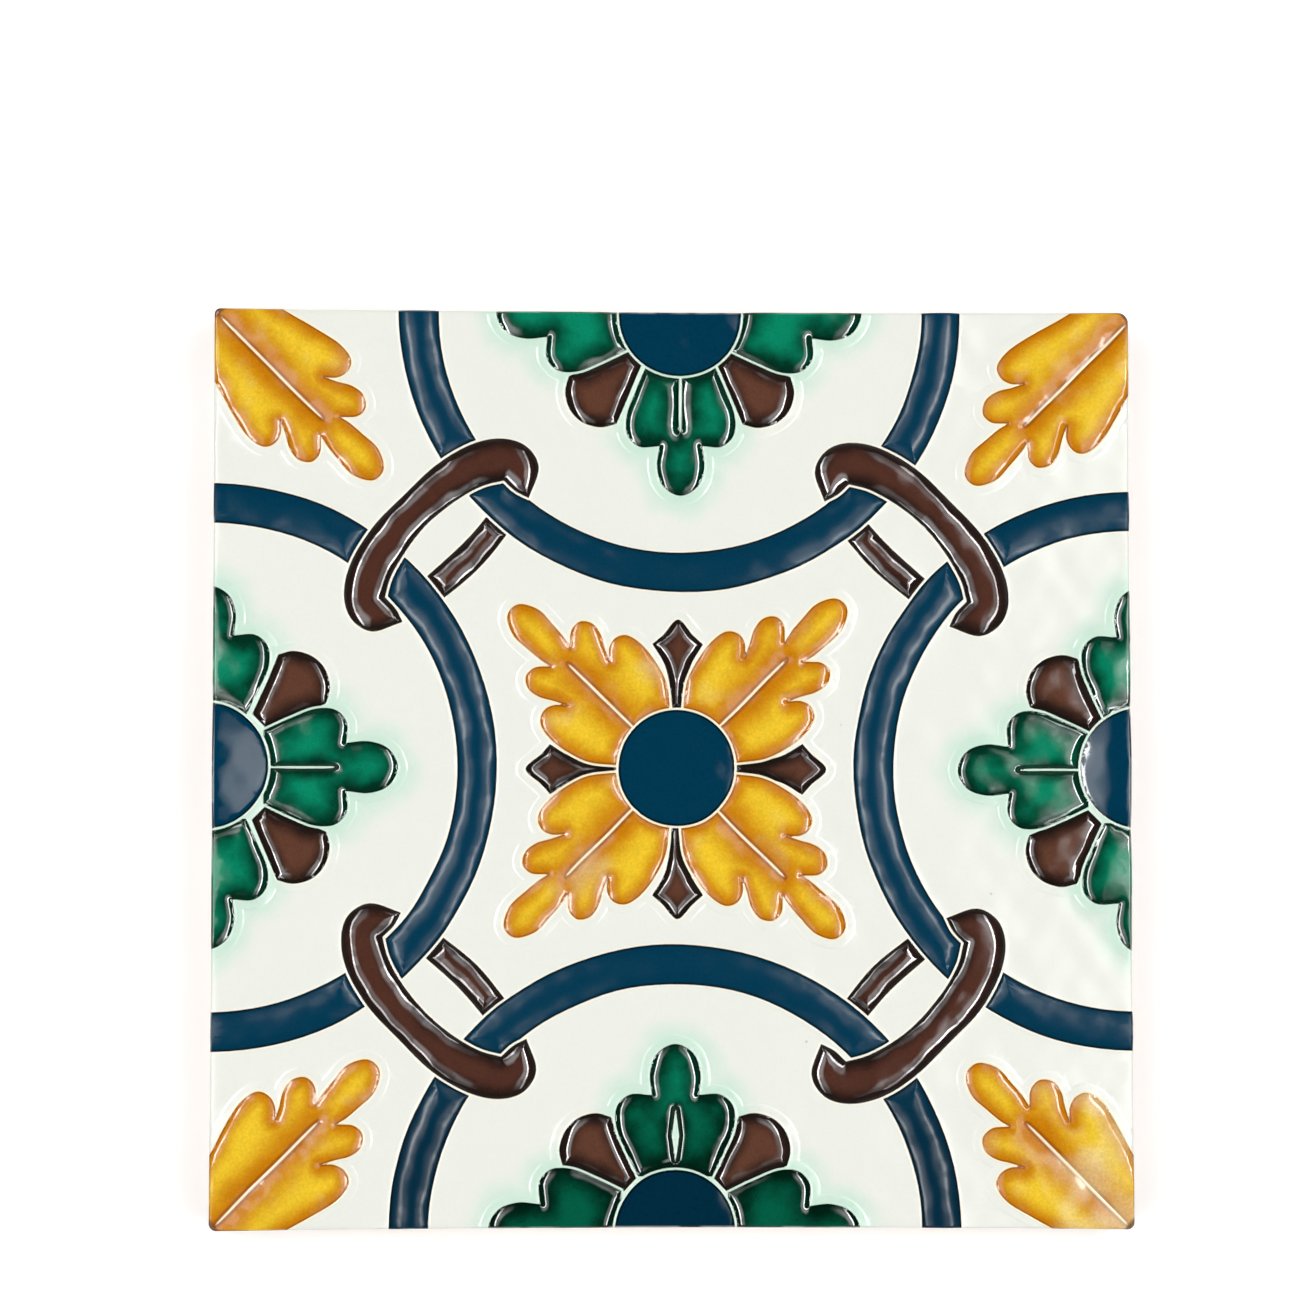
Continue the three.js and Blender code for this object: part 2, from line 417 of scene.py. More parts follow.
@dataclass(frozen=True)
class Rosette:
    """The middle rosette: four lobed leaves on the diagonals and four buds between them."""

    centre: tuple[float, float] = (0.45, 0.0)
    vein: tuple[float, float, float] = (8.0, 23.4, 0.36)
    vein_steepness: float = 0.6
    leaf_slips: tuple[Slip, ...] = (Slip(0.3, -0.1), Slip(-0.1, -0.25, 0.012, long=0.975), Slip(-0.2, 0.0),
                                   Slip(-0.1, -0.2))
    bud_slips: tuple[Slip, ...] = (Slip(0.0, -0.3), Slip(0.25, -0.4), Slip(0.0, -0.3), Slip(0.2, -0.2))
    bud: list[Curve] = field(default_factory=lambda: [
        [(8.6, 0.9), (12, 1.1), (16, 2.0), (19.2, 3.9)],
        [(19.2, 3.9), (20.6, 2.3), (22.9, 0)],
    ])

    def motifs(self) -> list[Motif]:
        """The buds, the leaves over them and the leaves' veins.

        Returns:
            The motifs, each one under those after it.
        """
        even = [Place(*self.centre, QUARTER * quarter) for quarter in range(4)]
        bud_places = [slip.of(place) for place, slip in zip(even, self.bud_slips)]
        leaf_places = [slip.of(Slip(turn=EIGHTH).of(place)) for place, slip in zip(even, self.leaf_slips)]
        bud, leaf, stem = leaf_loop(self.bud), leaf_loop([LOWER_LOBE, MIDDLE_LOBE, TIP_LOBE]), vein_loop(*self.vein)
        buds = [Motif(Sheet.BUDS, bud, place) for place in bud_places]
        return buds + veined_leaves(leaf, stem, self.vein_steepness, leaf_places)


@dataclass(frozen=True)
class CornerLeaves:
    """The leaf that comes out of each corner of the tile."""

    half: float = 70.0
    vein: tuple[float, float, float] = (1.4, 23.5, 0.36)
    vein_steepness: float = 0.6
    slips: tuple[Slip, ...] = (
        Slip(0.6, -0.9), Slip(0.0, -0.4), Slip(long=0.99, wide=1.04), Slip(-0.1, -0.3, long=0.98, wide=1.05))

    def motifs(self) -> list[Motif]:
        """The four leaves and their veins.

        Returns:
            The motifs, each one under those after it.
        """
        leaf, stem = leaf_loop([CORNER_FOOT, MIDDLE_LOBE, TIP_LOBE]), vein_loop(*self.vein)
        even = on_diagonals(self.half * np.sqrt(2), np.pi)
        places = [slip.of(place) for place, slip in zip(even, self.slips)]
        return veined_leaves(leaf, stem, self.vein_steepness, places)


PETAL: list[Curve] = [
    [(8, 5.6), (12, 7.5), (15.5, 8.9), (18.6, 8.8), (20.4, 6.8), (20.3, 3.6)],
    [(20.3, 3.6), (23.6, 3.9), (26.6, 2.8), (28.0, 0)],
]
SEPAL: list[Curve] = [
    [(9.6, 1.5), (14, 3.2), (18.8, 5.2)],
    [(18.8, 5.2), (20.8, 4), (22.1, 2), (22.5, 0)],
]


@dataclass(frozen=True)
class SideFlower:
    """A half flower at the middle of a side: a whole petal, two petals cut by the side and two brown sepals."""

    place: Place
    petal: Slip = Slip()
    cut_petals: tuple[Slip, Slip] = (Slip(), Slip())
    sepals: tuple[Slip, Slip] = (Slip(), Slip())
    vein: tuple[float, float, float] = (8.5, 18.6, 0.32)
    vein_taper: float = 0.12
    vein_steepness: float = 1.8

    def motifs(self) -> list[Motif]:
        """The sepals, the cut petals over them, and the whole petal with its vein on top.

        Returns:
            The motifs, each one under those after it.
        """
        petal, sepal = leaf_loop(PETAL), leaf_loop(SEPAL)
        whole = self.petal.of(self.place)
        sides = (1, -1)
        sepals = [Motif(Sheet.BUDS, sepal, slip.of(Slip(turn=side * EIGHTH).of(self.place)))
                  for side, slip in zip(sides, self.sepals)]
        cut = [Motif(Sheet.PETALS, petal, slip.of(Slip(turn=side * QUARTER).of(self.place)))
               for side, slip in zip(sides, self.cut_petals)]
        stem = vein_loop(*self.vein, taper=self.vein_taper)
        vein = Motif(Sheet.PETALS, stem, whole, is_vein=True, steepness=self.vein_steepness)
        return [*sepals, *cut, Motif(Sheet.PETALS, petal, whole), vein]


SIDE_FLOWERS = (
    SideFlower(Place(71.4, -0.35, np.pi), sepals=(Slip(-0.2, -0.3), Slip())),
    SideFlower(Place(1.0, 69.4, -QUARTER), petal=Slip(0.15, 0.0, wide=0.93), vein=(8.5, 18.2, 0.4),
               vein_steepness=0.8),
    SideFlower(Place(-70.3, -0.05, 0.0), petal=Slip(long=1.02), sepals=(Slip(0.7, 0.1), Slip(0.7, -0.2)),
               cut_petals=(Slip(long=0.985), Slip(long=0.985))),
    SideFlower(Place(0.3, -69.9, QUARTER), cut_petals=(Slip(-0.2, 0.3), Slip()), vein=(10.2, 18.2, 0.95),
               vein_taper=0.45, vein_steepness=1.5),
)


@dataclass(frozen=True)
class Dome:
    """A low oval swelling of the face, in mm: rise (1 - r^2), where r is the share of the way out to its edge."""

    x: float
    y: float
    across: float
    up: float
    rise: float

    def height(self, x: np.ndarray, y: np.ndarray) -> np.ndarray:
        """How much it lifts each point."""
        share = ((x - self.x) / self.across) ** 2 + ((y - self.y) / self.up) ** 2
        return self.rise * np.clip(1 - share, 0, 1)


DOMES = (
    Dome(-80.0, 0.2, 18.2, 11.3, 2.32),
    Dome(-66.5, 18.0, 7.0, 7.0, 0.35),
    Dome(-66.5, -18.0, 7.0, 7.0, 0.35),
    Dome(71.4, 0.0, 9.2, 9.2, 1.5),
    Dome(67.5, 17.5, 7.0, 7.0, 0.35),
    Dome(67.5, -18.0, 7.0, 7.0, 0.35),
)


@dataclass(frozen=True)
class Relief:
    """The glazed face as a function of place: how far each point lies from each sheet's edge, and how high it is.

    Sizes are in mm. The wall between two pools is wall wide, with a fine ridge along each pool. Round the terraced
    sheets it goes on as a level terrace that ends in a soft step, step_width wide, at terrace_width. Under the rings
    and bars the terrace sinks away over terrace_fade. Distances are only worked out up to window round a motif. The
    hand's wobble shifts the outlines, and a fine and a broad swell lift the face.
    """

    wall: float = 0.33
    terrace: float = 0.09
    terrace_width: float = 1.35
    terraced: tuple[Sheet, ...] = (Sheet.LEAVES, Sheet.PETALS, Sheet.BUDS, Sheet.DISCS)
    step_width: float = 0.36
    ridge: float = 0.06
    ridge_width: float = 0.1
    terrace_fade: float = 1.2
    far: float = 7.0
    window: float = 6.0
    wobble: float = 0.05
    wobbles: tuple[Ripple, Ripple] = (Ripple(12.0, 11), Ripple(12.0, 12))
    swell: float = 0.032
    fine_swell: Ripple = Ripple(5.0, 21)
    broad_swell: Ripple = Ripple(28.0, 22)
    broad_share: float = 1.5
    motifs: tuple[Motif, ...] = ()
    domes: tuple[Dome, ...] = DOMES

    def sheets(self, x: np.ndarray, y: np.ndarray) -> dict[Sheet, np.ndarray]:
        """Distance from each sheet's edge, negative inside a pool.

        A motif takes the place of what lies under it and of a wall's width round it: there the lower sheets' distance
        is the wall's width less the motif's own. The hand's wobble is a smooth shift of the points.

        Args:
            x: Distance to the right, in mm.
            y: Distance to the top, in mm.

        Returns:
            For each sheet, the distance at each point in mm, at most far.
        """
        found = {sheet: np.full(x.shape, self.far, np.float32) for sheet in Sheet}
        shift_x, shift_y = (ripple.at(x, y) for ripple in self.wobbles)
        seen_x, seen_y = x + self.wobble * shift_x, y + self.wobble * shift_y
        for motif in self.motifs:
            outline = motif.outline()
            low, high = outline.min(axis=0) - self.window, outline.max(axis=0) + self.window
            here = np.flatnonzero((x > low[0]) & (x < high[0]) & (y > low[1]) & (y < high[1]))
            if not len(here):
                continue
            distance = signed_distance(seen_x[here], seen_y[here], outline)
            if motif.is_vein:
                found[motif.sheet][here] = np.maximum(found[motif.sheet][here], -motif.steepness * distance)
                continue
            for kept in found.values():
                kept[here] = np.maximum(kept[here], self.wall - distance)
            found[motif.sheet][here] = np.minimum(found[motif.sheet][here], distance)
        return found

    def height(self, x: np.ndarray, y: np.ndarray, sheets: dict[Sheet, np.ndarray] | None = None) -> np.ndarray:
        """Height of the face over the ground, in mm.

        Args:
            x: Distance to the right, in mm.
            y: Distance to the top, in mm.
            sheets: The distances there, if they are known already.

        Returns:
            The height at each point.
        """
        found = self.sheets(x, y) if sheets is None else sheets
        nearest = np.minimum.reduce(list(found.values()))
        leafy = np.minimum.reduce([found[sheet] for sheet in self.terraced])
        share = np.clip((leafy - self.terrace_width) / self.step_width + 0.5, 0, 1)
        deep = np.clip(-np.minimum(found[Sheet.RINGS], found[Sheet.BARS]) / self.terrace_fade, 0, 1)
        height = self.terrace * (1 - share**2 * (3 - 2 * share)) * (1 - deep)
        height = height + self.ridge * np.exp(-(((nearest - self.wall / 2) / self.ridge_width) ** 2))
        for sheet, distance in found.items():
            height = height + SECTIONS[sheet].height(np.maximum(-distance, 0))
        for dome in self.domes:
            height = height + dome.height(x, y)
        height = height + self.swell * self.fine_swell.at(x, y)
        return height + self.broad_share * self.swell * self.broad_swell.at(x, y)


@dataclass(frozen=True)
class TileBody:
    """The fired body as one closed surface: the glazed face, rounded arrises, plain sides and a plain back.

    Sizes are in mm. The face's exact heights are set again up to margin from its arris, down to lip below the
    ground, and its slopes are measured over slope_span to both sides.
    """

    side: float = 140.0
    ground: float = 10.5
    arris: float = 0.45
    foot_arris: float = 0.8
    corner_rounds: tuple[float, float, float, float] = (1.7, 0.9, 1.2, 1.1)
    bows: tuple[float, float, float, float] = (0.1, 0.3, 0.1, 0.45)
    bow_power: int = 20
    arris_rows: int = 4
    side_rows: int = 14
    back_rows: int = 6
    side_dent: float = 0.06
    side_dents: Ripple = Ripple(11.0, 31)
    most_triangles: int = 186_000
    step: float = 0.14
    quick_step: float = 0.32
    margin: float = 0.5
    lip: float = 0.6
    slope_span: float = 0.05

    def plan(self, u: np.ndarray, v: np.ndarray) -> tuple[np.ndarray, np.ndarray]:
        """The tile's outline in the direction of a point on the edge of the unit square.

        The square's corners are drawn in to arcs and its sides bow in by a parabola, which only shifts the face close
        to its border: by the size of u or v to the bow_power.

        Args:
            u: The point's first coordinate, the larger of both being 1 in size.
            v: Its second coordinate.

        Returns:
            The outline's x and y there, in mm.
        """
        half = self.side / 2
        east, north, west, south = self.bows
        bow_x = np.where(u > 0, east, west) * (1 - v**2)
        bow_y = np.where(v > 0, north, south) * (1 - u**2)
        corner = np.where(v > 0, np.where(u > 0, 0, 1), np.where(u > 0, 3, 2))
        radius = np.array(self.corner_rounds)[corner]
        over_x = np.maximum(np.abs(u) * half - (half - radius), 0)
        over_y = np.maximum(np.abs(v) * half - (half - radius), 0)
        length = np.hypot(over_x, over_y)
        draw = np.where((over_x > 0) & (over_y > 0), radius / np.maximum(length, 1e-9), 1)
        x = np.sign(u) * (np.abs(u) * half - over_x + over_x * draw)
        y = np.sign(v) * (np.abs(v) * half - over_y + over_y * draw)
        near_x, near_y = np.abs(u) ** self.bow_power, np.abs(v) ** self.bow_power
        return x - np.sign(u) * bow_x * near_x, y - np.sign(v) * bow_y * near_y

    def face_grid(self, step: float) -> tuple[np.ndarray, np.ndarray, np.ndarray]:
        """The face as a function of two parameters on a square grid.

        A point's ring is the larger size of its two parameters. Rings up to the arris are evenly spaced, and the last
        ones go round a quarter circle. Each ring is the tile's outline, drawn in.

        Args:
            step: Distance between grid lines, in mm.

        Returns:
            x, y and the drop over the arris at each grid point, in mm.
        """
        half = self.side / 2
        flat = half - self.arris
        across = int(round(flat / step))
        turn = np.linspace(0, QUARTER, self.arris_rows + 1)[1:]
        reach = np.concatenate([np.linspace(0, flat, across + 1), flat + self.arris * np.sin(turn)]) / half
        drop = np.concatenate([np.zeros(across + 1), self.arris * (1 - np.cos(turn))])
        count = len(reach) - 1
        index = np.arange(-count, count + 1)
        i, j = np.meshgrid(index, index, indexing="ij")
        ring = np.maximum(np.abs(i), np.abs(j))
        along = np.sign(index) * reach[np.abs(index)]
        u, v = np.meshgrid(along, along, indexing="ij")
        size = np.maximum(reach[ring], 1e-9)
        x, y = self.plan(u / size, v / size)
        return x * reach[ring], y * reach[ring], drop[ring]

    def surface(self, relief: Relief, step: float) -> tuple[np.ndarray, np.ndarray]:
        """The whole closed surface before it is thinned.

        The face is the grid. Its border is carried down the sides, round the foot's arris and in over the back, to one
        point in the middle.

        Args:
            relief: The face's relief.
            step: Distance between grid lines, in mm.

        Returns:
            The points in mm, one to a row, and the faces' corners, four to a row.
        """
        x, y, drop = self.face_grid(step)
        flat_x, flat_y = x.ravel().astype(np.float32), y.ravel().astype(np.float32)
        top = relief.height(flat_x, flat_y).reshape(x.shape) + self.ground - drop
        face = np.stack([x, y, top], axis=-1).reshape(-1, 3)
        rows, columns = x.shape
        number = np.arange(rows * columns).reshape(rows, columns)
        quads = np.stack([number[:-1, :-1], number[1:, :-1], number[1:, 1:], number[:-1, 1:]], axis=-1)
        border = np.concatenate([number[:-1, 0], number[-1, :-1], number[:0:-1, -1], number[0, :0:-1]])
        skirt = self.skirt(face[border])
        below = len(face) + np.arange(len(skirt)).reshape(-1, len(border))
        bands = np.vstack([border, below])
        following = np.roll(bands, -1, axis=1)
        sides = np.stack([bands[1:], following[1:], following[:-1], bands[:-1]], axis=-1)
        centre = np.full(len(border), len(face) + len(skirt))
        fan = np.stack([bands[-1], centre, centre, following[-1]], axis=-1)
        points = np.vstack([face, skirt, np.zeros((1, 3))])
        return points, np.vstack([quads.reshape(-1, 4), sides.reshape(-1, 4), fan])

    def skirt(self, rim: np.ndarray) -> np.ndarray:
        """Rows of points from the face's border down the sides, round the foot's arris and in over the back.

        Each row is the border, drawn in to the tile's middle by a share. The sides are a little uneven.

        Args:
            rim: The border's points in mm, one to a row.

        Returns:
            The points, row after row.
        """
        half = self.side / 2
        turn = np.linspace(0, QUARTER, self.arris_rows + 1)[1:]
        down = np.linspace(0, 1, self.side_rows + 1)[1:]
        inward = np.linspace(1, 0, self.back_rows + 1)[1:-1]
        side_heights = np.outer(1 - down, rim[:, 2]) + self.foot_arris * down[:, None]
        low = np.concatenate([self.foot_arris * (1 - np.sin(turn)), np.zeros_like(inward)])
        heights = np.vstack([side_heights, np.outer(low, np.ones(len(rim)))])
        foot_share = 1 - self.foot_arris * (1 - np.cos(turn)) / half
        back_share = inward * (1 - self.foot_arris / half)
        share = np.concatenate([np.ones_like(down), foot_share, back_share])[:, None]
        x, y = share * rim[:, 0], share * rim[:, 1]
        dent = self.side_dent * (1 + self.side_dents.at(x + 0.7 * y, 2 * heights))
        on_side = (heights > self.foot_arris) & (heights < rim[:, 2] - 1e-6)
        drawn_in = 1 - dent * on_side / half
        return np.stack([x * drawn_in, y * drawn_in, heights], axis=-1).reshape(-1, 3)

    def build(self, relief: Relief) -> bpy.types.Object:
        """The tile's mesh: the surface, thinned where it is flat and given its exact heights and normals again.

        Args:
            relief: The face's relief.

        Returns:
            The tile, with an attribute for each glaze that holds the distance from its edge in mm.
        """
        points, corners = self.surface(relief, self.step)
        dense = mesh_of("tile_dense", points * MM, corners)
        triangles = len(corners) * 2
        thin = thinned(dense, min(1.0, self.most_triangles / triangles))
        tile = bpy.data.objects.new("tile_glazed", thin)
        bpy.context.collection.objects.link(tile)
        self.finish_surface(thin, relief)
        return tile

    def finish_surface(self, mesh: bpy.types.Mesh, relief: Relief) -> None:
        """Gives the mesh its exact heights and normals on the face, and its glazes' distances.

        The normal of a height z over x and y is (-dz/dx, -dz/dy, 1) made one long. The slopes are differences over a
        short span to both sides.

        Args:
            mesh: The thinned mesh.
            relief: The face's relief.
        """
        places = read_vectors(mesh.vertices, "co") / MM
        x, y = places[:, 0].astype(np.float32), places[:, 1].astype(np.float32)
        sheets = relief.sheets(x, y)
        height = relief.height(x, y, sheets)
        inset = self.side / 2 - self.arris - self.margin
        on_face = (np.maximum(np.abs(x), np.abs(y)) < inset) & (places[:, 2] > self.ground - self.lip)
        places[on_face, 2] = self.ground + height[on_face]
        mesh.vertices.foreach_set("co", (places * MM).astype(np.float32).ravel())
        mesh.update()
        normals = read_vectors(mesh.vertices, "normal")
        span = np.float32(self.slope_span)
        fx, fy = x[on_face], y[on_face]
        slope_x = (relief.height(fx + span, fy) - relief.height(fx - span, fy)) / (2 * span)
        slope_y = (relief.height(fx, fy + span) - relief.height(fx, fy - span)) / (2 * span)
        upward = np.stack([-slope_x, -slope_y, np.ones_like(slope_x)], axis=-1)
        normals[on_face] = upward / np.linalg.norm(upward, axis=1, keepdims=True)
        mesh.polygons.foreach_set("use_smooth", np.ones(len(mesh.polygons), bool))
        mesh.normals_split_custom_set_from_vertices(normals.tolist())
        size = np.maximum(np.maximum(np.abs(x), np.abs(y)), 1e-6)
        far_x, far_y = self.plan(x / size, y / size)
        add_values(mesh, "edge", np.hypot(far_x, far_y) - np.hypot(x, y))
        for sheet, distance in sheets.items():
            add_values(mesh, sheet.value, distance)

    def dress(self, tile: bpy.types.Object, finish: "TileFinish") -> None:
        """Puts the finish on the tile."""
        tile.data.materials.clear()
        tile.data.materials.append(finish.material())


def mesh_of(name: str, points: np.ndarray, corners: np.ndarray) -> bpy.types.Mesh:
    """A mesh from whole arrays.

    Args:
        name: The mesh's name.
        points: The points in metres, one to a row.
        corners: The faces' corners, four to a row, the third like the second in a triangle.

    Returns:
        The mesh.
    """
    triangular = corners[:, 1] == corners[:, 2]
    counts = np.where(triangular, 3, 4)
    keep = np.ones(corners.shape, bool)
    keep[triangular, 2] = False
    flat = corners[keep]
    mesh = bpy.data.meshes.new(name)
    mesh.vertices.add(len(points))
    mesh.vertices.foreach_set("co", points.astype(np.float32).ravel())
    mesh.loops.add(len(flat))
    mesh.loops.foreach_set("vertex_index", flat.astype(np.int32))
    mesh.polygons.add(len(corners))
    starts = np.concatenate([[0], np.cumsum(counts)[:-1]])
    mesh.polygons.foreach_set("loop_start", starts.astype(np.int32))
    mesh.update(calc_edges=True)
    return mesh


def thinned(mesh: bpy.types.Mesh, share: float) -> bpy.types.Mesh:
    """The mesh with fewer triangles, most of them kept where it bends.

    Args:
        mesh: The mesh, which is removed.
        share: The share of its triangles to keep.

    Returns:
        The new mesh.
    """
    holder = bpy.data.objects.new("holder", mesh)
    bpy.context.collection.objects.link(holder)
    modifier = holder.modifiers.new("thin", "DECIMATE")
    modifier.ratio = share
    modifier.use_collapse_triangulate = True
    depsgraph = bpy.context.evaluated_depsgraph_get()
    result = bpy.data.meshes.new_from_object(holder.evaluated_get(depsgraph))
    bpy.data.objects.remove(holder)
    bpy.data.meshes.remove(mesh)
    return result


def read_vectors(items: bpy.types.bpy_prop_collection, name: str) -> np.ndarray:
    """A vector property of every item.

    Args:
        items: A mesh's vertices.
        name: The property's name.

    Returns:
        The vectors, one to a row.
    """
    values = np.empty(len(items) * 3, np.float32)
    items.foreach_get(name, values)
    return values.reshape(-1, 3).astype(float)


def add_values(mesh: bpy.types.Mesh, name: str, values: np.ndarray) -> None:
    """Keeps a value for each vertex as a named attribute."""
    attribute = mesh.attributes.new(name, "FLOAT", "POINT")
    attribute.data.foreach_set("value", values.astype(np.float32))


@dataclass
class Wiring:
    """Adds nodes to a tree and joins them. A Value is a number, a colour or another node's socket."""

    tree: bpy.types.NodeTree

    @cached_property
    def place(self) -> Socket:
        """The piece's Object coordinates."""
        return self.node("ShaderNodeTexCoord").outputs["Object"]

    @cached_property
    def xyz(self) -> tuple[Socket, ...]:
        """The three parts of the Object coordinates."""
        return tuple(self.node("ShaderNodeSeparateXYZ", {0: self.place}).outputs)

    def node(self, kind: str, inputs: dict[str | int, Value] | None = None, **settings: object) -> bpy.types.Node:
        """Adds a node.

        Args:
            kind: The node's type name.
            inputs: What its inputs get, by name or number.
            settings: Its properties.

        Returns:
            The node.
        """
        made = self.tree.nodes.new(kind)
        for name, value in settings.items():
            setattr(made, name, value)
        for key, value in (inputs or {}).items():
            self.feed(made.inputs[key], value)
        return made

    def feed(self, socket: Socket, value: Value) -> None:
        """Joins a socket to another one, or sets its value.

        Args:
            socket: The socket.
            value: What it gets.
        """
        if isinstance(value, Socket):
            self.tree.links.new(value, socket)
        elif isinstance(value, tuple) and socket.type == "RGBA":
            socket.default_value = (*value, 1.0)
        else:
            socket.default_value = value

    def group(self, tree: bpy.types.NodeTree, inputs: dict[str, Value]) -> bpy.types.Node:
        """Adds a node group."""
        return self.node("ShaderNodeGroup", inputs, node_tree=tree)

    def math(self, operation: str, first: Value, second: Value = 0.0) -> Socket:
        """The result of a sum on two values."""
        return self.node("ShaderNodeMath", {0: first, 1: second}, operation=operation).outputs[0]

    def times(self, first: Value, second: Value) -> Socket:
        """Two values multiplied."""
        return self.math("MULTIPLY", first, second)

    def plus(self, first: Value, second: Value) -> Socket:
        """Two values added up."""
        return self.math("ADD", first, second)

    def less(self, first: Value, second: Value) -> Socket:
        """The first value less the second."""
        return self.math("SUBTRACT", first, second)

    def ramp(self, value: Value, low: Value, high: Value) -> Socket:
        """0 up to low, 1 from high on, and a smooth step between them."""
        inputs = {"Value": value, "From Min": low, "From Max": high, "To Min": 0.0, "To Max": 1.0}
        return self.node("ShaderNodeMapRange", inputs, interpolation_type="SMOOTHSTEP").outputs[0]

    def mix(self, share: Value, first: Value, second: Value) -> Socket:
        """A colour that goes from the first to the second."""
        return self.node("ShaderNodeMix", {0: share, 6: first, 7: second}, data_type="RGBA").outputs[2]

    def blend(self, share: Value, first: Value, second: Value) -> Socket:
        """A value that goes from the first to the second."""
        return self.node("ShaderNodeMix", {0: share, 2: first, 3: second}, data_type="FLOAT").outputs[0]

    def tinted(self, colour: Value, factor: Value) -> Socket:
        """A colour made lighter or darker by a factor."""
        return self.node("ShaderNodeVectorMath", {0: colour, "Scale": factor}, operation="SCALE").outputs[0]

    def attribute(self, name: str) -> Socket:
        """The value of a mesh attribute."""
        return self.node("ShaderNodeAttribute", attribute_name=name).outputs["Fac"]


@dataclass(frozen=True)
class Clouds:
    """Cloudy noise with features of a size in mm, from 0 to an amount."""

    size: float
    amount: float = 1.0
    detail: float = 2.0

    def noise(self, wiring: Wiring, place: Socket) -> Socket:
        """The plain noise, from 0 to 1."""
        inputs = {"Vector": place, "Scale": 1 / (self.size * MM), "Detail": self.detail}
        return wiring.node("ShaderNodeTexNoise", inputs).outputs[0]

    def upward(self, wiring: Wiring) -> Socket:
        """The noise from 0 to the amount."""
        return wiring.times(self.noise(wiring, wiring.place), self.amount)

    def both_ways(self, wiring: Wiring, place: Socket | None = None) -> Socket:
        """The noise to both sides of 0, by half the amount."""
        return wiring.times(wiring.less(self.noise(wiring, place or wiring.place), 0.5), self.amount)


@dataclass(frozen=True)
class Patches:
    """Soft patches with features of a size in mm: nothing where the noise is under low, full where it is over high."""

    size: float
    low: float
    high: float
    detail: float = 2.0

    def share(self, wiring: Wiring) -> Socket:
        """How much of a patch there is, from 0 to 1."""
        return wiring.ramp(Clouds(self.size, detail=self.detail).noise(wiring, wiring.place), self.low, self.high)


def new_group(name: str, inputs: dict[str, str], outputs: dict[str, str]) -> tuple[Wiring, dict, dict]:
    """A node group with named sockets.

    Args:
        name: The group's name.
        inputs: Socket kinds by name.
        outputs: The same for what it puts out.

    Returns:
        The wiring of its tree, its input sockets and its output sockets, both by name.
    """
    tree = bpy.data.node_groups.new(name, "ShaderNodeTree")
    for way, sockets in (("INPUT", inputs), ("OUTPUT", outputs)):
        for socket, kind in sockets.items():
            tree.interface.new_socket(name=socket, in_out=way, socket_type=kind)
    wiring = Wiring(tree)
    entry, leaving = wiring.node("NodeGroupInput"), wiring.node("NodeGroupOutput")
    return wiring, {key: entry.outputs[key] for key in inputs}, {key: leaving.inputs[key] for key in outputs}


FLOAT = "NodeSocketFloat"
COLOR = "NodeSocketColor"
VECTOR = "NodeSocketVector"


def pool_group() -> bpy.types.NodeTree:
    """Colours a pool of glaze by the distance from its edge: a thin rim, the shoulder and the thin middle.

    The rim's colour gives way from 0.3 of its width to all of it, and the shoulder's from 0.6 of that width to the
    pool's. Cover goes from 0 to 1 over the softness on both sides of the edge.

    Returns:
        The group.
    """
    inputs = {"Distance": FLOAT, "Cloud": FLOAT, "Rim": COLOR, "Shoulder": COLOR, "Middle": COLOR,
              "Rim Width": FLOAT, "Pool Width": FLOAT, "Softness": FLOAT}
    wiring, given, put = new_group("pooled glaze", inputs, {"Color": COLOR, "Cover": FLOAT})
    depth = wiring.times(given["Distance"], -1.0)
    at_rim = wiring.ramp(depth, wiring.times(given["Rim Width"], 0.3), given["Rim Width"])
    cloudy = wiring.plus(depth, given["Cloud"])
    in_middle = wiring.ramp(cloudy, wiring.times(given["Rim Width"], 0.6), given["Pool Width"])
    inner = wiring.mix(in_middle, given["Shoulder"], given["Middle"])
    wiring.feed(put["Color"], wiring.mix(at_rim, given["Rim"], inner))
    wiring.feed(put["Cover"], wiring.ramp(depth, wiring.times(given["Softness"], -1.0), given["Softness"]))
    return wiring.tree


def speck_group() -> bpy.types.NodeTree:
    """Sparse round specks: cells whose random number is low hold one at their middle, full up to half its radius.

    Returns:
        The group.
    """
    inputs = {"Vector": VECTOR, "Size": FLOAT, "Share": FLOAT, "Radius": FLOAT}
    wiring, given, put = new_group("specks", inputs, {"Mask": FLOAT})
    scale = wiring.math("DIVIDE", 1 / MM, given["Size"])
    cells = wiring.node("ShaderNodeTexVoronoi", {"Vector": given["Vector"], "Scale": scale})
    chosen = wiring.math("LESS_THAN", cells.outputs["Color"], given["Share"])
    outside = wiring.ramp(cells.outputs["Distance"], wiring.times(given["Radius"], 0.5), given["Radius"])
    wiring.feed(put["Mask"], wiring.times(chosen, wiring.less(1.0, outside)))
    return wiring.tree


@dataclass(frozen=True)
class PooledGlaze:
    """One sheet's glaze: its colours from the rim to the middle of a pool, in linear light, and its gloss.

    Widths and cloud are in mm. It is darker by deeper_below towards the tile's lower side, less shiny by dull_patches
    here and there, and in other places it carries a painted reflection: a whitish haze of the soft boxes, mixed into
    its colour by its haze share.
    """

    sheet: Sheet
    rim: Colour
    shoulder: Colour
    middle: Colour
    rim_width: float
    pool_width: float
    cloud: float
    roughness: float
    specular: float = 0.5
    deeper_below: float = 0.0
    dull_patches: float = 0.0
    haze_reflection: float = 0.0


